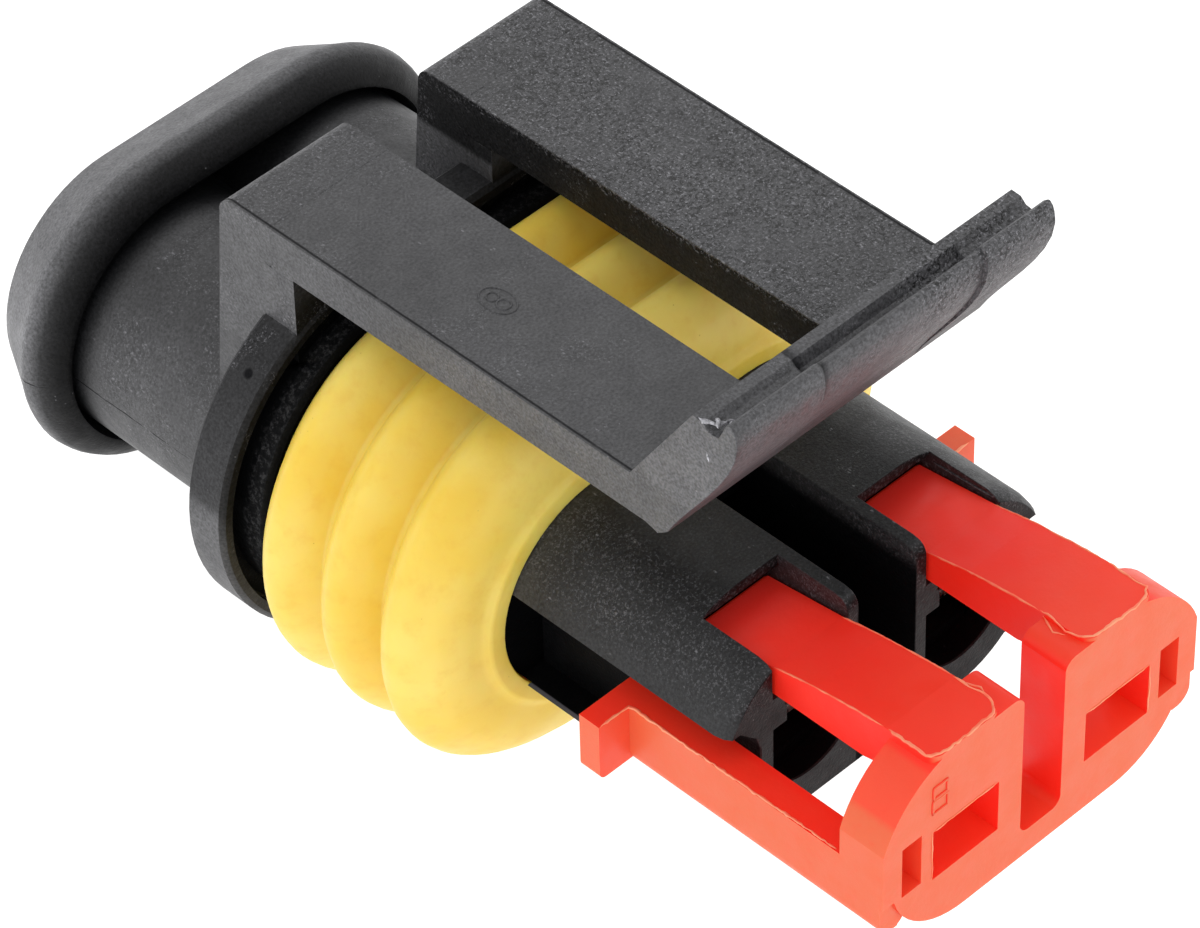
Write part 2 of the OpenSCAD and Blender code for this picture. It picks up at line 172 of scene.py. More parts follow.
def black_plastic(name, base, dark_marks_and_shade=(), lip=False):
    m = Mat(name)
    sep = m.t.nodes.new("ShaderNodeSeparateXYZ")
    tc = m.t.nodes.new("ShaderNodeTexCoord")
    m.t.links.new(tc.outputs["Normal"], sep.inputs[0])
    nx, ny, nz = sep.outputs
    soft = m.noise(0.35, 4, 0.55)
    grit = m.noise(11.0, 3, 0.62, 3.1)
    shade = m.ramp(soft, 0.3, 0.72, 0.85, 1.25, False)
    # moulding grain: light and dark specks a tenth of a millimetre across
    grain = m.ramp(grit, 0.33, 0.70, 0.45, 1.9, False)
    # the upper right arm, the lip and the post sides came out rougher, with fibres at the surface
    arm = m.math("MULTIPLY", m.ramp(m.x, 0.2, 1.9), m.ramp(m.z, AXIS + 8.6, AXIS + 8.85))
    arm = m.math("MULTIPLY", arm, m.ramp(m.noise(0.5, 3, 0.6, 12.0), 0.30, 0.55, 0.35, 1.0))
    rough_z = m.math("MULTIPLY", m.ramp(m.z, AXIS + 1.0, AXIS + 2.5), m.ramp(m.noise(0.6, 3, 0.6, 31.0), 0.5, 0.68))
    rough_z = m.math("MULTIPLY", rough_z, m.ramp(m.y, 13.3, 13.7, 1.0, 0.0))
    edge = m.math("MULTIPLY", m.ramp(m.y, 4.9, 5.0), m.ramp(m.y, 6.5, 6.6, 1.0, 0.0))
    edge = m.math("MULTIPLY", edge, m.ramp(m.z, AXIS + 6.2, AXIS + 7.0, 1.0, 0.0))
    # painted shade: flange faces above mid height that don't face sideways are darkened and lose specular
    flange_rim_shade = m.math("MULTIPLY", edge, m.ramp(m.z, AXIS - 0.5, AXIS + 1.2))
    flange_rim_shade = m.math("MULTIPLY", flange_rim_shade, m.ramp(m.math("ABSOLUTE", nx), 0.985, 0.997, 1.0, 0.0))
    edge = 0.0 if lip else m.math("MULTIPLY", edge, m.ramp(m.noise(0.7, 3, 0.6, 55.0), 0.33, 0.45))
    rear_top = m.math("MULTIPLY", m.ramp(m.y, 4.8, 7.2), m.ramp(m.z, AXIS + 8.2, AXIS + 8.6))
    neck_rough = m.math("MULTIPLY", m.ramp(m.y, 7.2, 7.8), m.ramp(m.y, 12.6, 13.4, 1.0, 0.0))
    neck_rough = 0.0 if lip else m.math("MULTIPLY", neck_rough, m.ramp(m.noise(0.45, 3, 0.6, 77.0), 0.42, 0.62))
    dense = m.math("MAXIMUM", arm, m.math("MULTIPLY", rough_z, m.ramp(edge, 0.0, 1.0, 0.35, 1.0, False)))
    dense = m.math("MAXIMUM", dense, m.math("MULTIPLY", rear_top, 0.45))
    dense = m.math("MAXIMUM", dense, m.math("MULTIPLY", neck_rough, 0.45))
    crown = m.math("MULTIPLY", m.ramp(m.y, -2.4, -2.9), m.ramp(m.z, AXIS + 1.5, AXIS + 2.4))
    crown = m.math("MULTIPLY", crown, m.ramp(m.z, AXIS + 3.38, AXIS + 3.48, 1.0, 0.25))
    crown = m.math("MULTIPLY", crown, m.ramp(m.z, AXIS + 5.0, AXIS + 5.6, 1.0, 0.0))
    warp = m.t.nodes.new("ShaderNodeVectorMath")
    warp.operation = "MULTIPLY"
    m.t.links.new(m.pos, warp.inputs[0])
    warp.inputs[1].default_value = (1.0, 0.45, 1.0)
    fib = m.t.nodes.new("ShaderNodeTexVoronoi")
    m.t.links.new(warp.outputs[0], fib.inputs["Vector"])
    fib.inputs["Scale"].default_value = 7.5
    fibre = m.ramp(fib.outputs["Distance"], 0.12, 0.34, 1.0, 0.0)
    pickn = m.noise(3.0, 2, 0.6, 7.7)
    lim = m.math("SUBTRACT", 0.66, m.math("MULTIPLY", dense, 0.22))
    pick = m.ramp(m.math("SUBTRACT", pickn, lim), 0.0, 0.05)
    fleck = m.math("MULTIPLY", fibre, pick)
    k = m.math("MULTIPLY", shade, grain)
    # dark pores between the fibres of the rough places
    pore = m.ramp(m.noise(8.5, 3, 0.65, 21.0), 0.50, 0.60)
    k = m.math("MULTIPLY", k, m.math("SUBTRACT", 1.0, m.math("MULTIPLY", m.math("MULTIPLY", pore, dense), 0.95)))
    k = m.math("MULTIPLY", k, m.math("SUBTRACT", 1.0, m.math("MULTIPLY", flange_rim_shade, 0.6)))
    k = m.math("MULTIPLY", k, m.math("ADD", 1.0, m.math("MULTIPLY", dense, 0.15)))
    chip = m.ramp(m.noise(12.5, 4, 0.75, 17.0), 0.53, 0.66)
    spark = m.math("MULTIPLY", chip, dense)
    # towers are smoother and darker than the flange and the neck
    front = m.ramp(m.y, -4.5, -2.2, 1.0, 0.0)
    low = m.math("MULTIPLY", front, m.ramp(m.z, AXIS + 5.0, AXIS + 5.6, 1.0, 0.0))
    k = m.math("MULTIPLY", k, m.ramp(low, 0.0, 1.0, 1.0, 0.34, False))
    # painted shade: walls facing sideways between the arms, up to the arm tops, are darkened and lose most of their
    # specular
    inner = m.math("MULTIPLY", m.ramp(m.math("ABSOLUTE", m.x), 1.62, 1.70, 1.0, 0.0), m.ramp(m.z, AXIS + 6.8, AXIS + 7.1))
    inner = m.math("MULTIPLY", inner, m.ramp(m.z, AXIS + 8.88, AXIS + 8.93, 1.0, 0.0))
    inner = m.math("MULTIPLY", inner, m.ramp(m.math("ABSOLUTE", nx), 0.6, 0.9))
    # painted light: walls across the tool opening, turned sideways, are painted up to 1.55 times paler and, off the
    # latch, faces turned to the rear up to 1.5 times paler, so faces turned to the mating side read darker
    side_face_light = m.ramp(m.math("ABSOLUTE", nx), 0.55, 0.95, 1.0, 1.55)
    k = m.math("MULTIPLY", k, side_face_light)
    k = m.math("MULTIPLY", k, m.ramp(ny, 0.10, 0.45, 1.0, 1.5 if not lip else 1.0))
    # painted light and shade: the collar is painted palest on the cone behind its widest line, whose faces turn to the
    # rear, and dark on the turned-in rim, whose faces turn forward; its specular follows the same facing
    on_collar = m.ramp(m.y, 13.75, 13.9)
    collar_light_and_shade = m.ramp(ny, -0.75, 0.15, 0.35, 1.45)
    k = m.math("MULTIPLY", k, m.math("ADD", 1.0, m.math("MULTIPLY", on_collar, m.math("SUBTRACT", collar_light_and_shade, 1.0))))
    # painted shade: on the housing, faces turned to the front are darkened to 0.40 and their specular to 0.42; on the
    # latch the same faces are painted 1.15 times lighter as painted light
    ahead = m.ramp(ny, -0.45, -0.9, 0.0, 1.0)
    k = m.math("MULTIPLY", k, m.ramp(ahead, 0.0, 1.0, 1.0, 1.15 if lip else 0.40, False))
    if lip:
        # painted light: the crossbar and lip in front of the arms are painted 1.35 times lighter
        bar = m.math("MULTIPLY", m.ramp(m.y, -8.2, -8.6), m.ramp(m.z, AXIS + 8.9, AXIS + 9.2))
        k = m.math("MULTIPLY", k, m.ramp(bar, 0.0, 1.0, 1.0, 1.35, False))
    if not lip:
        # painted shade: the neck in front of the collar is darkened to 0.72
        neck = m.math("MULTIPLY", m.ramp(m.y, 7.3, 7.6), m.ramp(m.y, 13.6, 13.9, 1.0, 0.0))
        neck = m.math("MULTIPLY", neck, m.ramp(m.z, AXIS + 3.6, AXIS + 4.4, 1.0, 0.0))
        k = m.math("MULTIPLY", k, m.ramp(neck, 0.0, 1.0, 1.0, 0.72, False))
    k = m.math("MULTIPLY", k, m.math("SUBTRACT", 1.0, m.math("MULTIPLY", inner, 0.8)))
    val = m.math("MULTIPLY", k, base)
    val = m.math("ADD", val, m.math("MULTIPLY", fleck, 0.10))
    val = m.math("ADD", val, m.math("MULTIPLY", spark, 0.24))
    if not lip:
        glint = m.math("MULTIPLY", m.ramp(m.noise(12.0, 3, 0.7, 41.0), 0.53, 0.64), crown)
        val = m.math("ADD", val, m.math("MULTIPLY", glint, 0.055))
    comb = m.t.nodes.new("ShaderNodeCombineColor")
    m.put(comb.inputs[0], m.math("MULTIPLY", val, 0.99))
    m.put(comb.inputs[1], m.math("MULTIPLY", val, 0.985))
    m.put(comb.inputs[2], m.math("MULTIPLY", val, 1.06))
    col = comb.outputs[0]
    r = m.math("ADD", m.ramp(m.noise(1.4, 4, 0.6, 5.2), 0.3, 0.7, 0.42, 0.56), m.math("MULTIPLY", grit, 0.06))
    r = m.math("SUBTRACT", r, m.math("MULTIPLY", low, 0.06))
    nrm = m.bump(grit, 0.014, 0.9)
    nrm = m.bump(m.noise(5.0, 3, 0.6, 2.0), 0.02, 0.6, nrm)
    nrm = m.bump(fibre, 0.02, m.math("MULTIPLY", pick, 0.8), nrm)
    nrm = m.bump(m.math("SUBTRACT", chip, pore), 0.03, m.math("MULTIPLY", dense, 0.7), nrm)
    spec = m.ramp(low, 0.0, 1.0, 0.56, 0.30, False)
    spec = m.math("MULTIPLY", spec, m.ramp(ahead, 0.0, 1.0, 1.0, 0.9 if lip else 0.42, False))
    spec = m.math("MULTIPLY", spec, m.ramp(m.math("ABSOLUTE", nx), 0.55, 0.95, 1.0, 1.15))
    spec = m.math("MULTIPLY", spec, m.math("SUBTRACT", 1.0, m.math("MULTIPLY", inner, 0.85)))
    spec = m.math("MULTIPLY", spec, m.math("ADD", 1.0, m.math("MULTIPLY", on_collar, m.ramp(ny, -0.75, 0.15, -0.55, 0.30))))
    spec = m.math("MULTIPLY", spec, m.math("SUBTRACT", 1.0, m.math("MULTIPLY", flange_rim_shade, 0.55)))
    # deep places that no light reaches: round the step, under the seal, inside the gap and the recesses
    ax = m.math("ABSOLUTE", m.x)
    za = m.math("SUBTRACT", m.z, AXIS)
    xa = m.math("MAXIMUM", m.math("SUBTRACT", ax, 3.0), 0.0)
    ra = m.math("SQRT", m.math("ADD", m.math("MULTIPLY", za, za), m.math("MULTIPLY", xa, xa)))
    ring = m.math("MULTIPLY", m.ramp(m.y, 3.9, 4.1), m.ramp(m.y, 5.7, 5.8, 1.0, 0.0))
    ring = m.math("MULTIPLY", ring, m.ramp(ra, 5.86, 5.93, 1.0, 0.0))
    streak = 0.0 if lip else m.math("MULTIPLY", m.ramp(m.noise(5.5, 5, 0.75, 33.0), 0.47, 0.62), m.ramp(m.y, 4.35, 4.6))
    streak = m.math("MULTIPLY", streak, m.math("MULTIPLY", m.ramp(m.y, 5.0, 5.2, 1.0, 0.0), ring))
    gap = m.math("MULTIPLY", m.ramp(ax, 1.14, 1.2, 1.0, 0.0), m.ramp(m.z, AXIS + 2.6, AXIS + 3.2, 1.0, 0.0))
    gap = m.math("MULTIPLY", gap, m.ramp(m.y, -4.7, -4.5, 1.0, 0.0))
    rec = m.math("MULTIPLY", m.ramp(m.z, AXIS + 1.2, AXIS + 1.4, 1.0, 0.0), m.ramp(m.z, AXIS - 2.3, AXIS - 2.21))
    rec = m.math("MULTIPLY", rec, m.ramp(m.y, -2.9, -2.6, 1.0, 0.0))
    # outer edge of the bottom plate beside the towers, which gets a painted highlight below
    rim = m.math("MULTIPLY", m.ramp(ax, 5.70, 5.76), m.ramp(m.z, AXIS - 2.55, AXIS - 2.40))
    rim = m.math("MULTIPLY", rim, m.ramp(m.z, AXIS - 2.21, AXIS - 2.15, 1.0, 0.0))
    rim = m.math("MULTIPLY", rim, m.ramp(m.y, -3.5, -3.2, 1.0, 0.0))
    rec = m.math("MULTIPLY", rec, m.ramp(m.y, -11.40, -11.36))
    col_gap = m.math("MULTIPLY", m.ramp(m.y, 13.0, 14.0), m.ramp(m.y, 15.6, 15.7, 1.0, 0.0))
    zz = m.math("SUBTRACT", m.z, WIRE_Z)
    xx = m.math("SUBTRACT", ax, 2.8)
    xx = m.math("MAXIMUM", xx, 0.0)
    rr = m.math("SQRT", m.math("ADD", m.math("MULTIPLY", zz, zz), m.math("MULTIPLY", xx, xx)))
    col_gap = m.math("MULTIPLY", col_gap, m.ramp(rr, 4.25, 4.40, 1.0, 0.0))
    deep = m.math("MAXIMUM", m.math("MAXIMUM", ring, gap), m.math("MAXIMUM", rec, col_gap))
    deep = m.math("MULTIPLY", deep, m.math("SUBTRACT", 1.0, rim))
    deep = m.math("MULTIPLY", deep, m.math("SUBTRACT", 1.0, m.math("MULTIPLY", streak, 0.38)))
    col = m.mix(m.math("MULTIPLY", deep, 0.93), col, (0.0015, 0.0018, 0.0022))
    spec = m.math("MULTIPLY", spec, m.math("SUBTRACT", 1.0, m.math("MULTIPLY", deep, 0.88)))
    # painted highlight: the outer edge of the bottom plate is painted pale blue-grey, as if catching light
    col = m.mix(m.math("MULTIPLY", rim, 0.8), col, (0.17, 0.18, 0.21))
    # near-black marks: the parting line is a real mark; the pit, the crease along the arm edges and the steps and
    # groove of the lip are painted shade
    for mask in dark_marks_and_shade:
        q = mask(m)
        col = m.mix(m.math("MULTIPLY", q, 0.9), col, (0.003, 0.003, 0.004))
        spec = m.math("MULTIPLY", spec, m.math("SUBTRACT", 1.0, m.math("MULTIPLY", q, 0.7)))
        nrm = m.bump(m.math("SUBTRACT", 1.0, q), 0.035, 0.9, nrm)
    m.set("Base Color", col)
    m.set("Roughness", r)
    m.set("Normal", nrm)
    m.set("Specular IOR Level", spec)
    m.set("IOR", 1.5)
    return m.m


def wobble(m, amount, scale=1.3, offset=0.0):
    return m.math("MULTIPLY", m.math("SUBTRACT", m.noise(scale, 3, 0.6, offset), 0.5), amount)


def rear_parting(m):
    """Parting line of the mould along the neck and collar, at the height of the wire bores."""
    z = m.math("ADD", m.z, wobble(m, 0.12, 1.1, 4.0))
    k = m.band(z, WIRE_Z, 0.022, 0.016)
    k = m.math("MULTIPLY", k, m.ramp(m.noise(0.9, 2, 0.5, 9.0), 0.40, 0.52))
    return m.math("MULTIPLY", k, m.ramp(m.y, 6.6, 6.9))


def arm_edge_crease_shade(m):
    """Painted shade: a fine dark crease line just inside the outer top edges of the arms."""
    ax = m.math("ABSOLUTE", m.x)
    ax = m.math("ADD", ax, wobble(m, 0.03, 2.0, 1.0))
    k = m.band(ax, ARM_X - 0.10, 0.035, 0.02)
    k = m.math("MULTIPLY", k, m.ramp(m.z, AXIS + 8.7, AXIS + 8.85))
    k = m.math("MULTIPLY", k, m.ramp(m.z, AXIS + 9.05, AXIS + 9.2, 1.0, 0.0))
    return m.math("MULTIPLY", k, m.ramp(m.noise(0.7, 2, 0.5, 3.0), 0.30, 0.42))


def lip_shade(m):
    """Dark foot of the steps in the lip, and the bottom of its groove."""
    hi = m.ramp(m.z, AXIS + 11.0, AXIS + 11.5)
    step = m.math("MULTIPLY", m.ramp(m.x, -2.80, -2.74), m.ramp(m.x, -2.70, -2.35, 1.0, 0.0))
    step = m.math("MULTIPLY", step, hi)
    g = m.math("MULTIPLY", m.ramp(m.z, AXIS + 12.60, AXIS + 12.85, 1.0, 0.0), m.ramp(m.z, AXIS + 11.9, AXIS + 12.0))
    g = m.math("MULTIPLY", g, m.math("MULTIPLY", m.ramp(m.y, -11.36, -11.28), m.ramp(m.y, -11.10, -10.98, 1.0, 0.0)))
    g = m.math("MULTIPLY", g, m.math("MULTIPLY", m.ramp(m.x, -2.80, -2.6), m.ramp(m.x, 3.3, 3.5, 1.0, 0.35)))
    return m.math("MAXIMUM", m.math("MULTIPLY", step, 0.8), m.math("MULTIPLY", g, 0.75))


def pin_hole(m):
    """A small moulding pit on the flange rim, beside the post; its near-black inside is painted shade."""
    v = m.t.nodes.new("ShaderNodeVectorMath")
    v.operation = "DISTANCE"
    m.t.links.new(m.pos, v.inputs[0])
    v.inputs[1].default_value = (-7.35, 5.75, AXIS + 4.62)
    return m.ramp(v.outputs["Value"], 0.10, 0.2, 1.0, 0.0)


housing_mat = black_plastic("housing_black", 0.034, (rear_parting, pin_hole, arm_edge_crease_shade))
latch_mat = black_plastic("latch_black", 0.034, (arm_edge_crease_shade, lip_shade), lip=True)


def silicone(name, deep, mid, pale, rough):
    m = Mat(name)
    big = m.noise(0.22, 3, 0.5, 2.0)
    col = m.mix(m.ramp(big, 0.35, 0.68), mid, pale)
    col = m.mix(m.ramp(m.noise(1.6, 4, 0.6, 6.0), 0.45, 0.8, 0.0, 0.35), col, deep)
    dust, _ = m.cells(2.6, 0.4)
    col = m.mix(m.math("MULTIPLY", m.ramp(dust, 0.03, 0.07, 1.0, 0.0), m.ramp(m.noise(0.9, 1, 0.5, 8.0), 0.58, 0.64)), col, tuple(c * 0.75 for c in mid))
    m.set("Base Color", col)
    m.set("Roughness", m.ramp(m.noise(0.8, 4, 0.6, 1.0), 0.3, 0.7, rough - 0.07, rough + 0.09))
    m.set("Normal", m.bump(m.noise(3.0, 4, 0.55, 5.0), 0.012, 0.6))
    m.set("Subsurface Weight", 0.35)
    m.set("Subsurface Radius", (1.0, 0.55, 0.12))
    m.set("Subsurface Scale", 0.9 * MM)
    m.set("IOR", 1.42)
    return m.m


seal_mat = silicone("seal_yellow", (0.76, 0.44, 0.035), (0.85, 0.59, 0.066), (0.89, 0.70, 0.155), 0.42)
wire_seal_mat = silicone("wire_seal_orange", (0.55, 0.16, 0.05), (0.66, 0.22, 0.07), (0.74, 0.29, 0.10), 0.45)


def lock_plastic(name, extra=0.0):
    m = Mat(name)
    deep = (0.86, 0.020, 0.010)
    pale = (0.69, 0.138, 0.053)
    nt = m.t.nodes.new("ShaderNodeTexCoord")
    sep = m.t.nodes.new("ShaderNodeSeparateXYZ")
    m.t.links.new(nt.outputs["Normal"], sep.inputs[0])
    nx, ny, nz = sep.outputs
    ax = m.math("ABSOLUTE", m.x)
    block = m.ramp(m.y, FRONT + 1.50, FRONT + 1.66, 1.0, 0.0)
    # painted light: the front faces, the outer side faces, the lobes, the arm tops and the tops near the front are
    # painted towards the paler red, tops more on the right, as lit faces; the thin tongues stay the deeper red
    front = m.ramp(ny, -0.35, -0.9, 0.0, 1.0)
    up = m.ramp(nz, 0.35, 0.9)
    side = m.ramp(m.math("ABSOLUTE", nx), 0.35, 0.9)
    outer = m.ramp(ax, 5.6, 5.9)
    k = m.math("MULTIPLY", front, m.math("ADD", 0.55, m.math("MULTIPLY", block, 0.4)))
    k = m.math("MAXIMUM", k, m.math("MULTIPLY", side, m.math("MULTIPLY", outer, 0.95)))
    lobe = m.math("MULTIPLY", block, m.ramp(ax, 4.3, 4.6))
    k = m.math("MAXIMUM", k, m.math("MULTIPLY", lobe, 0.45))
    arm_top_light = m.math("MULTIPLY", m.ramp(ax, 5.2, 5.5), m.ramp(m.z, AXIS + 0.1, AXIS + 0.25))
    k = m.math("MAXIMUM", k, m.math("MULTIPLY", arm_top_light, 0.10))
    top = m.math("MULTIPLY", up, m.ramp(m.y, FRONT + 5.0, FRONT + 0.5, 0.02, 0.16))
    right = m.ramp(m.x, -1.0, 1.0, 1.0, 1.6)
    k = m.math("MAXIMUM", k, m.math("MULTIPLY", top, right))
    k = m.math("MAXIMUM", k, m.math("MULTIPLY", m.ramp(m.x, 6.25, 6.5), 0.85))
    k = m.math("ADD", k, m.math("MULTIPLY", m.math("SUBTRACT", m.noise(0.45, 4, 0.55), 0.5), 0.22), clamp=True)
    if extra:
        k = m.math("ADD", k, m.ramp(m.noise(2.5, 2, 0.5, 14.0), 0.35, 0.6, extra * 0.6, extra * 1.2))
        pale = (0.90, 0.36, 0.20)
    col = m.mix(k, deep, pale)
    col = m.mix(m.ramp(m.noise(3.5, 4, 0.65, 4.0), 0.5, 0.85, 0.0, 0.22), col, (0.80, 0.035, 0.015))
    # painted shade: the tongues are darkened towards the rear, where they run under the tower roofs
    back = m.ramp(m.y, FRONT + 6.4, FRONT + 9.0)
    tongue = m.math("MULTIPLY", back, m.ramp(m.z, AXIS + 1.2, AXIS + 1.6))
    col = m.mix(m.math("MULTIPLY", tongue, 0.72), col, (0.24, 0.012, 0.018))
    m.set("Base Color", col)
    m.set("Roughness", m.math("ADD", m.ramp(m.noise(1.2, 4, 0.6, 3.0), 0.3, 0.7, 0.34, 0.5), m.math("MULTIPLY", m.noise(8.0, 2, 0.5, 1.0), 0.06)))
    nrm = m.bump(m.noise(2.2, 4, 0.6, 9.0), 0.02, 0.5, None)
    nrm = m.bump(m.noise(13.0, 3, 0.6, 6.0), 0.006, 0.6, nrm)
    m.set("Normal", nrm)
    # painted light: a faint red emission keeps the lock bright red in its shaded places
    m.set("Emission Color", (1.0, 0.035, 0.012))
    m.set("Emission Strength", 0.11)
    m.set("Subsurface Weight", 0.25)
    m.set("Subsurface Radius", (1.0, 0.15, 0.06))
    m.set("Subsurface Scale", 0.6 * MM)
    m.set("Specular IOR Level", 0.30)
    m.set("IOR", 1.5)
    return m.m


lock_mat = lock_plastic("lock_orange_red")


def tin(name):
    m = Mat(name)
    col = m.mix(m.ramp(m.noise(1.5, 4, 0.6), 0.3, 0.75), (0.62, 0.60, 0.56), (0.76, 0.74, 0.70))
    m.set("Base Color", m.mix(m.ramp(m.noise(5.0, 3, 0.6, 2.0), 0.62, 0.8, 0.0, 0.5), col, (0.42, 0.33, 0.20)))
    m.set("Metallic", 1.0)
    m.set("Roughness", m.ramp(m.noise(4.0, 4, 0.6, 7.0), 0.3, 0.7, 0.24, 0.42))
    m.set("Normal", m.bump(m.noise(10.0, 3, 0.6), 0.006, 0.5))
    return m.m


tin_mat = tin("contact_tin")

PAINT = {"housing": housing_mat, "latch_frame": latch_mat, "interface_seal": seal_mat,
         "secondary_lock": lock_mat, "contact_left": tin_mat, "contact_right": tin_mat,
         "wire_seal_left": wire_seal_mat, "wire_seal_right": wire_seal_mat}
for name, mat in PAINT.items():
    o = nodes[name]
    o.data.materials.clear()
    o.data.materials.append(mat)


# ---------------------------------------------------------------- softened edges on the CAD nodes
def soften(name, groups, angle=28):
    """Rounds the sharp edges of a node with one bevel modifier for each group.
    groups: (width in mm, rule) pairs; rule takes the edge's middle and direction in mm
    and the first rule that says yes takes the edge."""
    o = nodes[name]
    me = o.data
    if me.attributes.get("custom_normal"):
        me.attributes.remove(me.attributes["custom_normal"])
    for p in me.polygons:
        p.use_smooth = True
    bm = bmesh.new()
    bm.from_mesh(me)
    bmesh.ops.remove_doubles(bm, verts=bm.verts, dist=0.002 * MM)
    def key(a, b):
        ka = tuple(round(v / MM * 200) for v in a)
        kb = tuple(round(v / MM * 200) for v in b)
        return (ka, kb) if ka < kb else (kb, ka)
    sharp = {}
    for e in bm.edges:
        if len(e.link_faces) == 2 and e.calc_face_angle(0) > math.radians(angle):
            a, b = e.verts[0].co / MM, e.verts[1].co / MM
            mid, d = (a + b) / 2, (b - a).normalized()
            for g, (w, rule) in enumerate(groups):
                if rule(mid, d):
                    sharp[key(e.verts[0].co, e.verts[1].co)] = g
                    break
    bm.free()
    for g in range(len(groups)):
        me.attributes.new("round_%d" % g, "FLOAT", "EDGE")
    co = [v.co for v in me.vertices]
    for i, e in enumerate(me.edges):
        g = sharp.get(key(co[e.vertices[0]], co[e.vertices[1]]))
        if g is not None:
            me.attributes["round_%d" % g].data[i].value = 1.0
    w = o.modifiers.new("weld", "WELD")
    w.merge_threshold = 0.002 * MM
    d = o.modifiers.new("flat", "DECIMATE")
    d.decimate_type = "DISSOLVE"
    d.angle_limit = math.radians(0.4)
    for g, (width, rule) in enumerate(groups):
        if width <= 0:
            continue
        b = o.modifiers.new("edges_%d" % g, "BEVEL")
        b.limit_method = "WEIGHT"
        b.edge_weight = "round_%d" % g
        b.width = width * MM
        b.segments = 3
        b.use_clamp_overlap = True
        b.miter_outer = "MITER_ARC"
    n = o.modifiers.new("normals", "WEIGHTED_NORMAL")
    n.weight = 90
    n.keep_sharp = False


ROOT_Y, ROOT_Z = 5.95, AXIS + 8.25


def near_root(p):
    return p.z > AXIS + 7.3 and p.y > 4.9 and math.hypot(p.y - ROOT_Y, p.z - ROOT_Z) < 0.95 and p.y < 6.4


def along(d, axis):
    return abs(d[axis]) > 0.97


def shelf(p):
    return 4.9 < p.y < 6.1 and AXIS + 7.2 < p.z < AXIS + 7.8


soften("housing", [
    (0.0, lambda p, d: (near_root(p) and not along(d, 1)) or shelf(p)),
    (0.13, lambda p, d: p.z > AXIS + 5.0 and p.y > 4),
    (0.12, lambda p, d: p.y < -3.0 and p.z > AXIS + 2.3),
    (0.10, lambda p, d: p.y > 14.0 and abs(p.z - WIRE_Z) > 3.0),
    (0.06, lambda p, d: True)])
soften("latch_frame", [
    (0.0, lambda p, d: near_root(p) and p.y > 5.3 and not along(d, 1)),
    (0.28, lambda p, d: abs(p.x) > ARM_X - 0.02 and p.y < -9.0 and not along(d, 1)),
    (0.13, lambda p, d: True)])
soften("interface_seal", [(0.05, lambda p, d: True)], 34)
soften("contact_left", [(0.04, lambda p, d: True)])
soften("contact_right", [(0.04, lambda p, d: True)])


# ---------------------------------------------------------------- small detail pieces
def finish_mesh(name, bm, body, mat):
    bmesh.ops.remove_doubles(bm, verts=bm.verts, dist=1e-8)
    bmesh.ops.recalc_face_normals(bm, faces=bm.faces)
    me = bpy.data.meshes.new(name)
    bm.to_mesh(me)
    bm.free()
    for p in me.polygons:
        p.use_smooth = True
    me.materials.append(mat)
    o = bpy.data.objects.new(name, me)
    bpy.context.scene.collection.objects.link(o)
    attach(o, body)
    return o


def resample(pts, step):
    out = []
    for a, b in zip(pts, pts[1:]):
        a, b = Vector(a), Vector(b)
        n = max(1, int((b - a).length / step))
        out += [a.lerp(b, i / n) for i in range(n)]
    return out + [Vector(pts[-1])]


def ridge(bm, pts, width, height, seed, up=(0, 0, 1), step=0.12, ragged=0.6, sway=0.05):
    """An irregular raised thread along a line, as flash or a scuff leaves it. pts in mm."""
    rnd = random.Random(seed)
    up = Vector(up).normalized()
    line = resample(pts, step)
    rings = []
    w = 1.0
    off = 0.0
    for i, p in enumerate(line):
        t = (line[min(i + 1, len(line) - 1)] - line[max(i - 1, 0)]).normalized()
        side = t.cross(up).normalized()
        n = side.cross(t).normalized()
        w += (1.0 + (rnd.random() - 0.5) * 2 * ragged - w) * 0.45
        off += ((rnd.random() - 0.5) * 2 * sway - off) * 0.5
        end = min(i, len(line) - 1 - i)
        taper = min(1.0, (end + 0.15) / 2.0)
        ww, hh = width * w * taper, height * (0.6 + 0.5 * w) * taper
        c = p + side * off
        ring = []
        for k in range(8):
            a = 2 * math.pi * k / 8
            q = c + side * (math.cos(a) * ww / 2) + n * (math.sin(a) * hh)
            ring.append(bm.verts.new(q * MM))
        rings.append(ring)
    for r0, r1 in zip(rings, rings[1:]):
        for k in range(8):
            bm.faces.new((r0[k], r0[(k + 1) % 8], r1[(k + 1) % 8], r1[k]))
    bm.faces.new(rings[0])
    bm.faces.new(list(reversed(rings[-1])))


def arc(cx, cz, y, r, a0, a1, n):
    return [(cx + r * math.cos(math.radians(a0 + (a1 - a0) * i / n)), y, cz + r * math.sin(math.radians(a0 + (a1 - a0) * i / n))) for i in range(n + 1)]
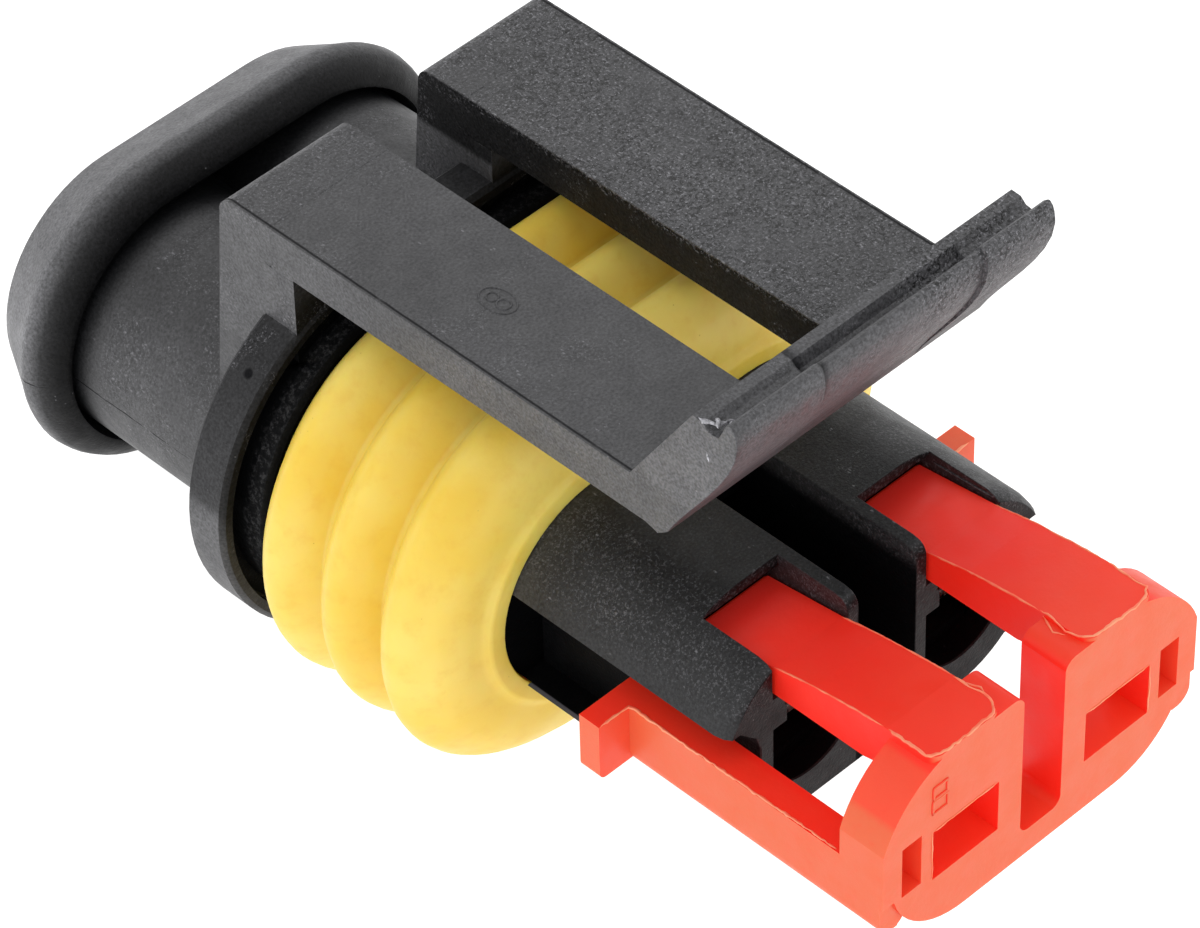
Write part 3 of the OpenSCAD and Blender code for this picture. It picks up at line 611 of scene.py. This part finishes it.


# flash left along the tongues, the lobes and the side arms of the lock; the pale threads on the tongue top edges also
# stand in for their edge highlights, as painted highlight
flash_mat = lock_plastic("lock_flash_pale", 0.5)
bm = bmesh.new()
top = AXIS + 3.57
for s in (-1, 1):
    x_in, x_out = s * (3 - 1.31), s * (3 + 1.31)
    # round the front end of the tongue, over the lobe
    ridge(bm, [(x_out, FRONT + 1.7, top - 0.01), (x_out, FRONT + 0.30, top), (x_out - s * 0.30, FRONT + 0.05, top), (s * 3.0, FRONT + 0.02, top - 0.01),
               (x_in + s * 0.26, FRONT + 0.06, top), (x_in - s * 0.02, FRONT + 0.34, top), (x_in - s * 0.10, FRONT + 0.75, top - 0.02),
               (x_in + s * 0.0, FRONT + 1.15, top - 0.01), (x_in, FRONT + 1.75, top)],
          0.09, 0.030, 11 + s, ragged=0.7, sway=0.06)
    # a corner of flash standing out on the lobe beside the tongue
    ridge(bm, [(x_in - s * 0.02, FRONT + 1.62, top - 0.10), (x_in - s * 0.16, FRONT + 1.25, top - 0.12), (x_in - s * 0.30, FRONT + 1.02, top - 0.13), (x_in - s * 0.12, FRONT + 0.72, top - 0.11)],
          0.08, 0.040, 15 + s, ragged=0.7, sway=0.05)
    # inner top edge of the tongue, running back, pale as a painted highlight
    ridge(bm, [(x_in, FRONT + 1.8, top - 0.01), (x_in, FRONT + 2.8, top - 0.10), (x_in, FRONT + 4.3, AXIS + 3.27), (x_in, FRONT + 5.8, AXIS + 2.96)], 0.055, 0.022, 21 + s, sway=0.015)
    # outer top edge of the tongue, pale as a painted highlight
    ridge(bm, [(x_out, FRONT + 1.8, top - 0.01), (x_out, FRONT + 2.8, top - 0.10), (x_out, FRONT + 4.3, AXIS + 3.27), (x_out, FRONT + 5.8, AXIS + 2.96)], 0.055, 0.022, 31 + s, sway=0.015)
    # outer top edge of the side arm, from the hook to the block
    rise = 0.30 if s < 0 else 0.85
    ridge(bm, [(s * 7.30, FRONT + 9.41, AXIS + rise), (s * 6.50, FRONT + 9.41, AXIS + rise), (s * 6.24, FRONT + 9.38, AXIS + rise), (s * 6.19, FRONT + 9.20, AXIS + 0.30), (s * 6.18, FRONT + 7.6, AXIS + 0.30), (s * 6.16, FRONT + 4.5, AXIS + 0.30), (s * 6.13, FRONT + 1.7, AXIS + 0.29)], 0.075, 0.035, 41 + s, ragged=0.95, sway=0.04)
    # pale thread along the top and outer edges of each window
    ridge(bm, [(s * 1.74, FRONT - 0.005, AXIS + 0.84), (s * 3.0, FRONT - 0.005, AXIS + 0.85), (s * 4.26, FRONT - 0.005, AXIS + 0.84)], 0.035, 0.022, 61 + s, up=(0, -1, 0), ragged=0.9, sway=0.03)
    ridge(bm, [(s * 4.31, FRONT - 0.005, AXIS + 0.82), (s * 4.31, FRONT - 0.005, AXIS - 0.2), (s * 4.30, FRONT - 0.005, AXIS - 1.0)], 0.035, 0.022, 65 + s, up=(0, -1, 0), ragged=0.9, sway=0.03)
flash = finish_mesh("lock_flash", bm, "lock", flash_mat)


# burrs torn up at the end of the groove in the lip, and a scuff on its end
scuff_mat = black_plastic("latch_scuff", 0.17, (), lip=True)
bm = bmesh.new()
lz = AXIS + 12.50
ridge(bm, [(-5.98, -10.30, lz + 0.03), (-5.93, -10.55, lz), (-5.80, -10.78, lz - 0.02), (-5.62, -10.92, lz - 0.02), (-5.40, -11.02, lz + 0.03)], 0.13, 0.08, 71, ragged=0.9, sway=0.05, step=0.07)
ridge(bm, [(-5.93, -10.95, lz + 0.02), (-5.76, -10.80, lz + 0.03), (-5.70, -10.62, lz)], 0.11, 0.08, 72, ragged=0.9, sway=0.04, step=0.06)
ridge(bm, [(-5.86, -11.22, lz + 0.10), (-5.66, -11.16, lz + 0.16), (-5.48, -11.22, lz + 0.18)], 0.06, 0.04, 73, ragged=0.9, sway=0.04, step=0.06)
ridge(bm, [(-6.03, -10.62, AXIS + 11.55), (-6.03, -10.72, AXIS + 11.25)], 0.07, 0.02, 74, up=(-1, 0, 0), ragged=0.8, sway=0.03, step=0.06)
finish_mesh("lip_burrs", bm, "latch", scuff_mat)


# fine raised rail along the outer wall of each tongue channel, in a paler black as a painted highlight along that edge
bm = bmesh.new()
for s in (-1, 1):
    ridge(bm, [(s * 4.445, -9.0, AXIS + 2.88), (s * 4.445, -10.2, AXIS + 2.96), (s * 4.445, -11.25, AXIS + 3.05)], 0.05, 0.028, 81 + s, up=(-s, 0, 0), ragged=0.5, sway=0.015)
finish_mesh("channel_rails", bm, "plug", black_plastic("rail_highlight", 0.12))


# thin liners that close the moulded-in roots of the arms, fixed to the posts
def liner(bm, x0, x1):
    ri, ro = 0.69, 0.775
    zt = 0.698
    outer, inner = [], []
    a_top = math.degrees(math.asin(zt / ro))
    a_in = math.degrees(math.asin(min(1, zt / 0.705)))
    for i in range(25):
        t = math.radians(a_top + (-90 - a_top) * i / 24)
        outer.append((ROOT_Y + ro * math.cos(t), ROOT_Z + ro * math.sin(t)))
    for i in range(25):
        t = math.radians(-90 + (a_in + 90) * i / 24)
        inner.append((ROOT_Y + ri * math.cos(t), ROOT_Z + ri * math.sin(t)))
    prof = outer + [(5.16, ROOT_Z - ro), (5.16, ROOT_Z - 0.7)] + inner[:-1] + [(ROOT_Y + 0.10, ROOT_Z + zt)]
    va = [bm.verts.new(Vector((x0, y, z)) * MM) for y, z in prof]
    vb = [bm.verts.new(Vector((x1, y, z)) * MM) for y, z in prof]
    n = len(prof)
    for i in range(n):
        bm.faces.new((va[i], va[(i + 1) % n], vb[(i + 1) % n], vb[i]))
    fa = bm.faces.new(va)
    fb = bm.faces.new(list(reversed(vb)))
    bmesh.ops.triangulate(bm, faces=[fa, fb])


bm = bmesh.new()
liner(bm, -ARM_X + 0.004, -1.524)
liner(bm, 1.524, ARM_X - 0.004)
roots = finish_mesh("arm_roots", bm, "plug", housing_mat)
for p in roots.data.polygons:
    p.use_smooth = False


# raised generic figures: a plain way number on the lobe and a plain tool number on the arm
def tube_loop(bm, pts, r, n=8):
    """Closed round thread through pts, mm."""
    m = len(pts)
    rings = []
    for i in range(m):
        p, a, b = Vector(pts[i]), Vector(pts[i - 1]), Vector(pts[(i + 1) % m])
        t = (b - a).normalized()
        u = t.orthogonal().normalized()
        v = t.cross(u)
        rings.append((p, t))
    up0 = None
    made = []
    for p, t in rings:
        if up0 is None:
            up0 = t.orthogonal().normalized()
        u = (up0 - t * up0.dot(t)).normalized()
        up0 = u
        v = t.cross(u)
        made.append([bm.verts.new((p + u * (r * math.cos(2 * math.pi * k / n)) + v * (r * math.sin(2 * math.pi * k / n))) * MM) for k in range(n)])
    for i in range(m):
        r0, r1 = made[i], made[(i + 1) % m]
        # match the closest start vertex so that the last joint doesn't twist
        sh = 0
        if i == m - 1:
            sh = min(range(n), key=lambda q: (r0[0].co - r1[q].co).length)
        for k in range(n):
            bm.faces.new((r0[k], r0[(k + 1) % n], r1[(k + 1 + sh) % n], r1[(k + sh) % n]))


def ellipse(cx, cy, z, rx, ry, turn, n=28):
    t = math.radians(turn)
    out = []
    for i in range(n):
        a = 2 * math.pi * i / n
        x, y = rx * math.cos(a), ry * math.sin(a)
        out.append((cx + x * math.cos(t) - y * math.sin(t), cy + x * math.sin(t) + y * math.cos(t), z))
    return out


bm = bmesh.new()
az = AXIS + 8.95
cx, cy = -3.75, -0.55
tube_loop(bm, ellipse(cx, cy - 0.24, az, 0.20, 0.21, 0), 0.035)
tube_loop(bm, ellipse(cx, cy + 0.20, az, 0.17, 0.18, 0), 0.035)
tube_loop(bm, ellipse(cx, cy - 0.02, az, 0.42, 0.62, 0, 40), 0.03)
finish_mesh("latch_mark", bm, "latch", latch_mat)


def box_loop(cx, cz, y, w, h, n=6):
    c = [(cx - w / 2, cz - h / 2), (cx + w / 2, cz - h / 2), (cx + w / 2, cz + h / 2), (cx - w / 2, cz + h / 2)]
    out = []
    for i in range(4):
        a, b = c[i], c[(i + 1) % 4]
        for k in range(n):
            f = k / n
            out.append((a[0] + (b[0] - a[0]) * f, y, a[1] + (b[1] - a[1]) * f))
    return out


bm = bmesh.new()
fx, fz = -4.05, AXIS + 2.05
tube_loop(bm, box_loop(fx, fz + 0.26, FRONT, 0.52, 0.42), 0.05)
tube_loop(bm, box_loop(fx, fz - 0.26, FRONT, 0.56, 0.46), 0.05)
finish_mesh("lock_mark", bm, "lock", lock_mat)

# ---------------------------------------------------------------- floor, lights, camera
floor_mat = bpy.data.materials.new("floor_pale")
floor_mat.use_nodes = True
fp = floor_mat.node_tree.nodes["Principled BSDF"]
fp.inputs["Base Color"].default_value = (0.30, 0.30, 0.30, 1)
fp.inputs["Emission Color"].default_value = (1, 1, 1, 1)
fp.inputs["Emission Strength"].default_value = 0.98
fp.inputs["Roughness"].default_value = 0.9
fp.inputs["Specular IOR Level"].default_value = 0.2
bm = bmesh.new()
bmesh.ops.create_grid(bm, x_segments=8, y_segments=8, size=1.2)
me = bpy.data.meshes.new("floor")
bm.to_mesh(me)
bm.free()
me.materials.append(floor_mat)
floor = bpy.data.objects.new("floor", me)
floor.location.z = cad_lo.z - 0.00001
bpy.context.scene.collection.objects.link(floor)

world = bpy.data.worlds.new("studio")
bpy.context.scene.world = world
world.use_nodes = True
world.node_tree.nodes["Background"].inputs["Color"].default_value = (1, 1, 1, 1)
world.node_tree.nodes["Background"].inputs["Strength"].default_value = 1.0


def area(name, az, el, dist, size, power, color=(1, 1, 1)):
    L = bpy.data.lights.new(name, "AREA")
    L.shape = "DISK"
    L.size = size
    L.energy = power
    L.color = color
    o = bpy.data.objects.new(name, L)
    a, e = math.radians(az), math.radians(el)
    d = Vector((math.sin(a) * math.cos(e), -math.cos(a) * math.cos(e), math.sin(e)))
    c = (cad_lo + cad_hi) / 2
    o.location = c + d * dist
    o.rotation_mode = "QUATERNION"
    o.rotation_quaternion = (-d).to_track_quat("-Z", "Y")
    bpy.context.scene.collection.objects.link(o)
    return o


area("key_left", -80, 30, 0.25, 0.14, 0.045)
area("back_top", 150, 50, 0.25, 0.16, 0.035)
area("front_right", 15, 25, 0.3, 0.14, 0.03)

cam_data = bpy.data.cameras.new("camera")
cam = bpy.data.objects.new("camera", cam_data)
bpy.context.scene.collection.objects.link(cam)
bpy.context.scene.camera = cam
AZ, EL, ROLL = math.radians(43.9693298), math.radians(43.7510668), math.radians(-1.51311435)
DIST = 0.18077988
FOCAL_PX = 6443.59
aim = Vector((0.0, (cad_lo.y + cad_hi.y) / 2 / MM - 0.45, AXIS + 0.21)) * MM
back = Vector((-math.sin(AZ) * math.cos(EL), -math.cos(AZ) * math.cos(EL), math.sin(EL)))
right0 = Vector((math.cos(AZ), -math.sin(AZ), 0))
up0 = back.cross(right0)
right = right0 * math.cos(ROLL) + up0 * math.sin(ROLL)
up = -right0 * math.sin(ROLL) + up0 * math.cos(ROLL)
rot = Matrix((right, up, back)).transposed()
cam.matrix_world = Matrix.Translation(aim + back * DIST) @ rot.to_4x4()
cam_data.sensor_fit = "HORIZONTAL"
cam_data.sensor_width = 36.0
cam_data.lens = 36.0 * FOCAL_PX / 1200
cam_data.clip_start = 0.005
cam_data.clip_end = 5

sc = bpy.context.scene
sc.view_settings.view_transform = "Standard"
sc.view_settings.look = "None"
